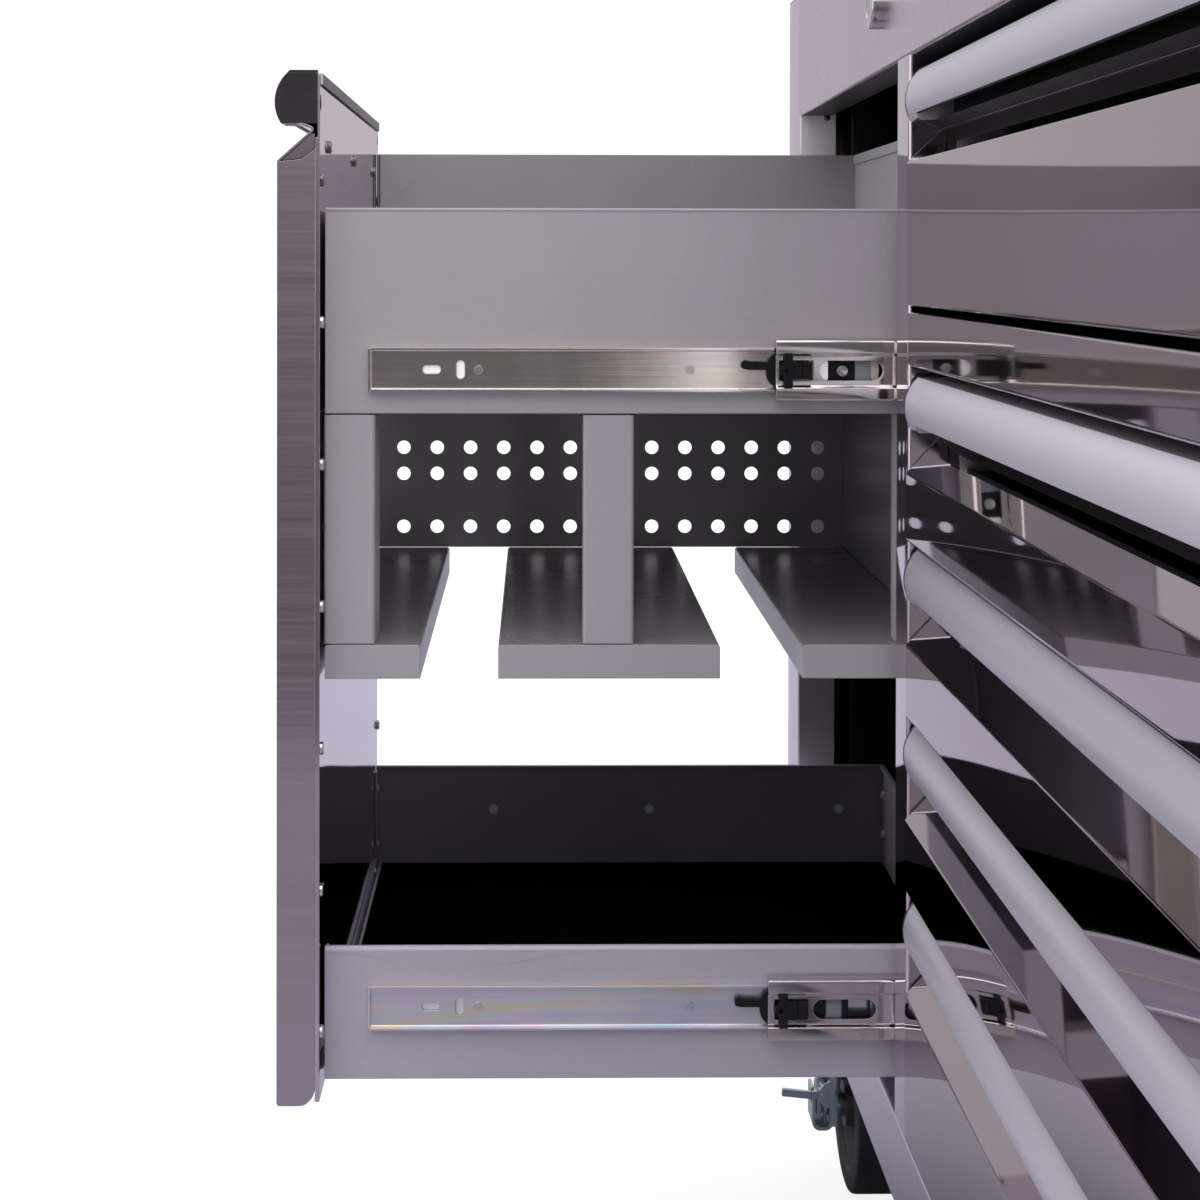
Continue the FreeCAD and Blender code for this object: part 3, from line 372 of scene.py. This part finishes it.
# ------------------------------------------------------------------ carried-over nodes
def dress(node, *mats, pick=None, smooth=32.0):
    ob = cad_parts[node]
    me = ob.data
    me.materials.clear()
    for m in mats:
        me.materials.append(m)
    for p in me.polygons:
        p.use_smooth = True
        p.material_index = pick(p.center * 1000 + Vector((0, YC * 1000, FL)), p.normal) if pick else 0
    if smooth:
        w = ob.modifiers.new("weld", "WELD")
        w.merge_threshold = 0.00001
        e = ob.modifiers.new("split", "EDGE_SPLIT")
        e.use_edge_angle = True
        e.use_edge_sharp = False
        e.split_angle = math.radians(smooth)
    return ob


def returns(c, n):
    """the folded-in lips beside the openings; on the sides they take a near-white diffuse copy of the stainless, a
    painted sheen
    """
    return 1 if abs(n.x) > 0.8 and c.y < 29 and abs(c.x) < 640 else 0


for n in ("side_left", "side_right"):
    dress(n, M_skin, M_lip_sheen, pick=returns)
dress("divider_post", M_skin, M_post, pick=returns)
dress("top_cover", M_film, M_dark, pick=lambda c, n: 1 if 2 < c.y < 440 and abs(c.x) < 650 and c.z < 927.0 else 0)
dress("cross_rail", M_rail)
dress("bottom_pan", M_low)
dress("back_panel", M_back)
dress("inner_walls", M_dark)
dress("cabinet_runners", M_zinc)
dress("lock_housing", M_lock)
dress("lock_plug", M_lock)
dress("front_caster_plates", M_cast)
dress("rear_caster_forks", M_cast)


def pan_pick(top, yf):
    """sides of the folded front, and the slope above the bottom of the finger recess, painted near-black as shade"""
    def f(c, n):
        if abs(n.x) > 0.7:
            return 1
        return 2 if c.z > top - 31.9 and yf + 4 < c.y < yf + 21.6 else 0
    return f


def tall_pan_pick(c, n):
    """as above, except that the slope keeps the plain stainless; and the back of the front sheet, which gets a dark
    copy of the stainless as painted shade
    """
    k = pan_pick(827.0, -348.3)(c, n)
    if k == 2:
        return 0
    return 3 if k == 0 and n.y > 0.3 and c.z < 800.0 else k


def pull_pick(yf, x0, x1):
    """inner faces and underside of the hollow pull, painted near-black as shade, and its top faces, a darker copy of
    the aluminium as painted shade; with x0 and x1 also its end caps
    """
    def f(c, n):
        if c.x < x0 or c.x > x1:
            return 1
        if n.z < -0.5 or (n.y > 0.3 and c.y < yf + 15) or (n.y < -0.3 and c.y > yf + 12):
            return 2
        return 3 if n.z > 0.85 else 0
    return f


def tall_pull_pick(c, n):
    """as above, and the back of the hook that clips over the sheet, which gets the dark copy of the stainless as
    painted shade
    """
    return 4 if n.y > 0.5 and c.y > -348.3 + 20 else pull_pick(-348.3, -5000, 5000)(c, n)


def far_wall(x):
    """the tray wall that faces the room's dim end; it takes a darker copy of the tray grey as painted shade"""
    return lambda c, n: 1 if n.x > 0.5 and c.x < x else 0


dress("tall_front_pan", M_skin, M_side, M_under_shade, M_inner_shade, pick=tall_pan_pick)
dress("tall_back_plate", M_skin)
dress("tall_handle", M_alu, M_cap, M_under_shade, M_alu_top_shade, M_inner_shade, pick=tall_pull_pick)
dress("tall_handle_caps", M_cap)
dress("tall_upper_tray", M_tray, M_tray_far_shade, pick=far_wall(-560))
dress("tall_peg_panel", M_peg)
dress("tall_posts", M_tray)
dress("tall_shelves", M_shelf, M_tray, pick=lambda c, n: 1 if abs(n.x) > 0.5 else 0)
dress("tall_rear_wall", M_peg)
dress("tall_lower_tray", M_tray_low_lit, M_tray_lowfar_shade, pick=far_wall(-560))
dress("tall_liner", M_mat)
dress("tall_runners", M_zinc3, M_zinc2, pick=lambda c, n: 1 if c.z < 400 else 0)
dress("tall_mid_runners", M_zinc, M_zinc3, pick=lambda c, n: 1 if c.z < 400 else 0)
dress("tall_mid_stops", M_black)
dress("tall_screws", M_screw, M_head, M_rivet, pick=lambda c, n: 2 if c.z > 700 and c.z < 800 and c.y < -318
      else (1 if c.x < -570 and n.x > -0.1 else 0))
for k in ("ur", "ul", "lr", "ll"):
    dress("tall_lever_" + k, M_black)
for i, top in enumerate((825.4, 658.7, 564.8, 469.8, 374.0), 1):
    dress("d%d_front" % i, M_front5 if i == 5 else M_front, M_end, M_under_shade, pick=pan_pick(top, -1.3))
    # pulls other than the second take the darker aluminium copy: painted shade
    dress("d%d_handle" % i, M_alu if i == 2 else M_alu_shaded, M_cap, M_under_shade, M_alu_top_shade, pick=pull_pick(-1.3, -155.45, 595.45))
    dress("d%d_box" % i, M_tray, M_zinc, M_skin,
          pick=lambda c, n: 1 if (c.x < -148.25 or c.x > 588.25) and c.y > 40 else (2 if c.y < 22.9 else 0))
    dress("d%d_mid" % i, M_zinc)
for k in ("cfl", "cfr"):
    dress(k + "_fork", M_cast)
    dress(k + "_brake", M_cast)
for k, xc, yc in (("cfl", -586, 56), ("cfr", 514, 56), ("crl", -550, 401), ("crr", 550, 401)):
    dress(k + "_wheel", M_tyre, M_hub, pick=lambda c, n, xc=xc: 1 if math.hypot(c.x - xc, c.z - 77.5) < 45.05 else 0)


# ------------------------------------------------------------------ pieces built here
def piece(name, verts, faces, mat, body, slot, bevel=0.0, smooth=True):
    me = bpy.data.meshes.new(name)
    me.from_pydata([tuple(v) for v in verts], [], faces)
    bm = bmesh.new()
    bm.from_mesh(me)
    bmesh.ops.remove_doubles(bm, verts=bm.verts, dist=1e-7)
    bmesh.ops.recalc_face_normals(bm, faces=bm.faces)
    if bevel > 0:
        sharp = [e for e in bm.edges if len(e.link_faces) == 2 and e.calc_face_angle(0) > math.radians(40)]
        bmesh.ops.bevel(bm, geom=sharp, offset=bevel, segments=2, affect="EDGES", profile=0.6)
    bm.to_mesh(me)
    bm.free()
    for p in me.polygons:
        p.use_smooth = smooth
    ob = bpy.data.objects.new(name, me)
    SC.collection.objects.link(ob)
    if smooth:
        e = ob.modifiers.new("split", "EDGE_SPLIT")
        e.split_angle = math.radians(35)
        e.use_edge_sharp = False
    me.materials.append(mat)
    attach(ob, body)
    return ob


def slab_x(pts, x0, x1):
    """verts and faces of a flat outline in (y, z), mm, extruded from x0 to x1"""
    n = len(pts)
    v = [P(x0, y, z) for y, z in pts] + [P(x1, y, z) for y, z in pts]
    f = [list(range(n))[::-1], list(range(n, 2 * n))]
    f += [[i, (i + 1) % n, n + (i + 1) % n, n + i] for i in range(n)]
    return v, f


def join(parts):
    v, f = [], []
    for a, b in parts:
        k = len(v)
        v += a
        f += [[i + k for i in q] for q in b]
    return v, f


def obround(yc, zc, hy, hz, n=8):
    """rounded slot outline; the longer half size sets its direction"""
    pts = []
    r = min(hy, hz)
    for i in range(4 * n):
        a = 2 * math.pi * i / (4 * n)
        c, s = math.cos(a), math.sin(a)
        dy = (hy - r) * (1 if c > 0 else -1)
        dz = (hz - r) * (1 if s > 0 else -1)
        pts.append((yc + dy + r * c, zc + dz + r * s))
    return pts


TX1, TX0 = -207.7, -588.3
YD, YM = -296.3, -67.3
for tag, z in (("upper", 659.8), ("lower", 297.9)):
    m = M_white_glow if tag == "upper" else M_head
    for side, xb, s in (("r", TX1, 1), ("l", TX0, -1)):
        a, b = sorted((xb + s * 0.02, xb + s * 0.35))
        parts = [slab_x(obround(YD + 34.4, z, 5.1, 2.3), a, b), slab_x(obround(YD + 50.8, z, 2.3, 5.1), a, b)]
        v, f = join(parts)
        piece("%s_slot_pads_%s" % (tag, side), v, f, m, "tall_drawer", "tray_sheet")

# what shows through the oval windows of the middle slide members: the works of the release latch
def ring(yc, zc, r, n=24):
    return [(yc + r * math.cos(2 * math.pi * k / n), zc + r * math.sin(2 * math.pi * k / n)) for k in range(n)]


def box_yz(y0, y1, z0, z1, r=0.0):
    if not r:
        return [(y0, z0), (y1, z0), (y1, z1), (y0, z1)]
    o = []
    for cy, cz, a0 in ((y1 - r, z1 - r, 0), (y0 + r, z1 - r, 90), (y0 + r, z0 + r, 180), (y1 - r, z0 + r, 270)):
        for k in range(5):
            a = math.radians(a0 + 22.5 * k)
            o.append((cy + r * math.cos(a), cz + r * math.sin(a)))
    return o


M_blue = painted("latch_grey", (0.28, 0.29, 0.34), 0.35, tone=0.05, bump=0.02)
M_beige = painted("latch_beige", (0.60, 0.54, 0.46), 0.4, tone=0.05, bump=0.02)
for side, xb, s in (("r", TX1, 1), ("l", TX0, -1)):
    def sl(outline, u0, u1):
        a, b = sorted((xb + s * u0, xb + s * u1))
        return slab_x(outline, a, b)

    zu, zl = 659.8, 297.9
    for nm, mat, slot, parts in (
            ("latch_tip_" + side, M_white_glow, "tray_sheet", [sl(box_yz(-43.4, -37.4, zu - 5.6, zu + 5.6, 1.2), 2.4, 4.8)]),
            ("latch_plate_" + side, M_black, "stop_black", [sl(box_yz(-37.6, -21.8, zu - 7.0, zu + 7.0, 0.8), 1.9, 4.2),
                                                           sl(box_yz(-22.0, -12.9, zu - 6.6, zu + 6.6, 0.8), 1.9, 2.6)]),
            ("latch_rivet_" + side, M_screw, "screw_zinc", [sl(ring(-29.1, zu - 0.4, 3.1), 4.0, 4.9)]),
            ("latch_block_" + side, M_blue, "stop_black", [sl(box_yz(-22.0, -13.0, zu - 6.4, zu + 6.4, 0.8), 2.4, 4.6)]),
            ("latch_heel_" + side, M_beige, "tray_sheet", [sl(box_yz(-13.0, -8.6, zu - 6.0, zu + 6.0, 1.8), 2.2, 4.4)]),
            ("latch_low_%s_nose" % side, M_black, "stop_black", [sl(box_yz(-47.6, -37.5, zl - 5.9, zl + 5.9, 2.6), 2.2, 4.8)]),
            ("latch_low_%s_block" % side, M_blue, "stop_black", [sl(box_yz(-37.6, -28.5, zl - 6.2, zl + 6.2, 0.8), 2.4, 4.2)]),
            ("latch_low_%s_frame" % side, M_black, "stop_black", [
                sl(box_yz(-28.6, -24.8, zl - 6.2, zl + 6.2, 0.6), 2.4, 4.8), sl(box_yz(-25.0, -13.4, zl - 6.2, zl - 2.4, 0.6), 2.4, 4.8),
                sl(box_yz(-13.6, -12.3, zl - 6.2, zl + 6.2, 0.3), 2.4, 4.8)])):
        v, f = join(parts)
        piece(nm, v, f, mat, "tall_drawer", slot, bevel=0.0003)

# two keyhole slots in the back of the pull's ends, drawn as thin black plates: painted shade where the openings are
for tag, x, z0, z1 in (("r", -201.0, 806.6, 814.5), ("l", -593.5, 809.7, 817.3)):
    zc = z0 + 3.2
    out = [(x + 2.9 * math.cos(math.radians(a)), zc + 3.2 * math.sin(math.radians(a))) for a in range(130, 411, 20)]
    out += [(x + 1.7, z1), (x - 1.7, z1)]
    k = len(out)
    yb = -324.25
    v = [P(u, yb - 0.02, q) for u, q in out] + [P(u, yb + 0.12, q) for u, q in out]
    f = [list(range(k))[::-1], list(range(k, 2 * k))] + [[q, (q + 1) % k, k + (q + 1) % k, k + q] for q in range(k)]
    piece("keyhole_" + tag, v, f, M_hole_shade, "tall_drawer", "stop_black")

# the far cheek and the leaf springs of the two brakes, inside their brackets
for k, xm in (("cfl", -586.0), ("cfr", 514.0)):
    y0 = 56.0
    parts = [slab_x([(y0 - 45.3, 64.2), (y0 - 34.7, 64.2), (y0 - 34.7, 78.0), (y0 - 37.0, 80.0), (y0 - 45.3, 80.0)], xm - 11.8, xm - 10.6)]
    for a, c, u, q in ((-9.2, -6.5, 36.6, 82.0), (-9.2, -6.5, 38.3, 80.0), (4.8, 9.2, 37.4, 81.0)):
        parts.append(slab_x([(y0 - u - 0.8, 64.4), (y0 - u, 64.4), (y0 - u, q), (y0 - u - 0.8, q)], xm + a, xm + c))
    v, f = join(parts)
    piece(k + "_brake_spring", v, f, M_cast, "fork_" + k[1:], "caster_zinc", bevel=0.0002)

# the folded tabs that close the ends of the tall front's finger recess, in the dark copy of the stainless: painted
# shade
for tag, a, c in (("r", -198.7, -197.9), ("l", -598.1, -597.3)):
    v, f = slab_x([(-346.0, 777.7), (-334.8, 778.7), (-334.2, 778.9), (-327.2, 784.4), (-327.2, 792.9), (-329.2, 792.7)], a, c)
    piece("recess_tab_" + tag, v, f, M_inner_shade, "tall_drawer", "stainless_skin", bevel=0.0002)

# the folded joint in the far front corner of the upper tray, drawn as two black strips: painted shade along the fold
parts = []
for y in (-323.9, -322.3):
    parts.append(slab_x([(y, 744.0), (y + 0.7, 744.0), (y + 0.7, 802.0), (y, 802.0)], TX0 + 1.0, TX0 + 1.45))
v, f = join(parts)
piece("tray_fold_far_shade_lines", v, f, M_black, "tall_drawer", "tray_sheet")

# the screw that shows beside the top of the left stile's inner lip
piece("stile_screw", *slab_x(ring(21.0, 832.2, 2.6), -600.95, -599.9), M_brass, "case", "screw_zinc", bevel=0.0003)

# ------------------------------------------------------------------ floor, light
fl = bpy.data.meshes.new("floor")
S = 40.0
fl.from_pydata([(-S, -S, -0.0006), (S, -S, -0.0006), (S, S, -0.0006), (-S, S, -0.0006)], [], [[0, 1, 2, 3]])
floor = bpy.data.objects.new("floor", fl)
SC.collection.objects.link(floor)
mf = bpy.data.materials.new("floor_pale")
mf.use_nodes = True
mf.node_tree.nodes.clear()
b = N(mf.node_tree)
out = b.new("ShaderNodeOutputMaterial")
lp = b.new("ShaderNodeLightPath")
d1 = b.new("ShaderNodeBsdfDiffuse")
d1.inputs[0].default_value = (0.22, 0.22, 0.22, 1)
em = b.new("ShaderNodeEmission")
em.inputs[0].default_value = (1, 1, 1, 1)
em.inputs[1].default_value = 0.86
ad = b.new("ShaderNodeAddShader")
b.link(d1.outputs[0], ad.inputs[0])
b.link(em.outputs[0], ad.inputs[1])
d2 = b.new("ShaderNodeBsdfDiffuse")
tone = b.noise(b.coords((1, 1, 1)), 3.0, 2.0, 0.5)
gp = b.new("ShaderNodeSeparateXYZ")
b.link(b.coords((1, 1, 1)), gp.inputs[0])
near = b.mix(tone, (0.40, 0.40, 0.47), (0.43, 0.43, 0.50))
b.link(b.mix(b.maprange(gp.outputs[0], 0.1, 0.9, 0.0, 1.0, True), near, (0.23, 0.225, 0.25)), d2.inputs[0])
# the floor ends in the room's dim side, where only reflections could reach it
tr = b.new("ShaderNodeBsdfTransparent")
m2 = b.new("ShaderNodeMixShader")
b.link(b.maprange(gp.outputs[0], 1.45, 1.75, 0.0, 1.0, True), m2.inputs[0])
b.link(d2.outputs[0], m2.inputs[1])
b.link(tr.outputs[0], m2.inputs[2])
mx = b.new("ShaderNodeMixShader")
b.link(lp.outputs["Is Camera Ray"], mx.inputs[0])
b.link(m2.outputs[0], mx.inputs[1])
b.link(ad.outputs[0], mx.inputs[2])
b.link(mx.outputs[0], out.inputs[0])
fl.materials.append(mf)

w = bpy.data.worlds.new("studio")
SC.world = w
w.use_nodes = True
w.node_tree.nodes.clear()
b = N(w.node_tree)
wo = b.new("ShaderNodeOutputWorld")
bg = b.new("ShaderNodeBackground")
white = b.new("ShaderNodeBackground")
white.inputs[0].default_value = (1, 1, 1, 1)
white.inputs[1].default_value = 1.05
tc = b.new("ShaderNodeTexCoord")
sp = b.new("ShaderNodeSeparateXYZ")
b.link(tc.outputs["Generated"], sp.inputs[0])
X, Y, Z = sp.outputs
side = b.maprange(X, -0.6, 0.30, 0.56, 1.25, True)
# the dim end of the room behind the camera: an upright band round +X, mostly on the -Y side
edge_l = b.maprange(Y, -0.78, -0.55, 0.0, 1.0, True)
edge_r = b.maprange(Y, 0.055, 0.10, 1.0, 0.0, True)
edge_b = b.maprange(b.math("ABSOLUTE", Z), 0.42, 0.62, 1.0, 0.0, True)
front = b.maprange(X, 0.25, 0.45, 0.0, 1.0, True)
dim = b.math("MULTIPLY", b.math("MULTIPLY", edge_l, edge_r), b.math("MULTIPLY", edge_b, front))
lowest = b.maprange(Z, -0.02, 0.10, 0.13, 0.24, True)
dark = b.maprange(dim, 0.0, 1.0, 1.0, lowest)
top = b.maprange(Z, 0.30, 0.85, 1.0, 1.7, True)
low = b.maprange(Z, -0.5, 0.0, 0.6, 1.0, True)
L = b.math("MULTIPLY", b.math("MULTIPLY", side, dark), b.math("MULTIPLY", top, low))
b.link(L, bg.inputs[1])
b.link(b.mix(b.maprange(X, -0.5, 0.5, 0.0, 1.0, True), (1.0, 0.955, 0.995), (1.0, 0.975, 0.985)), bg.inputs[0])
lp = b.new("ShaderNodeLightPath")
mx = b.new("ShaderNodeMixShader")
b.link(lp.outputs["Is Camera Ray"], mx.inputs[0])
b.link(bg.outputs[0], mx.inputs[1])
b.link(white.outputs[0], mx.inputs[2])
b.link(mx.outputs[0], wo.inputs[0])

SC.cycles.max_bounces = 10
SC.cycles.glossy_bounces = 6
SC.cycles.diffuse_bounces = 4
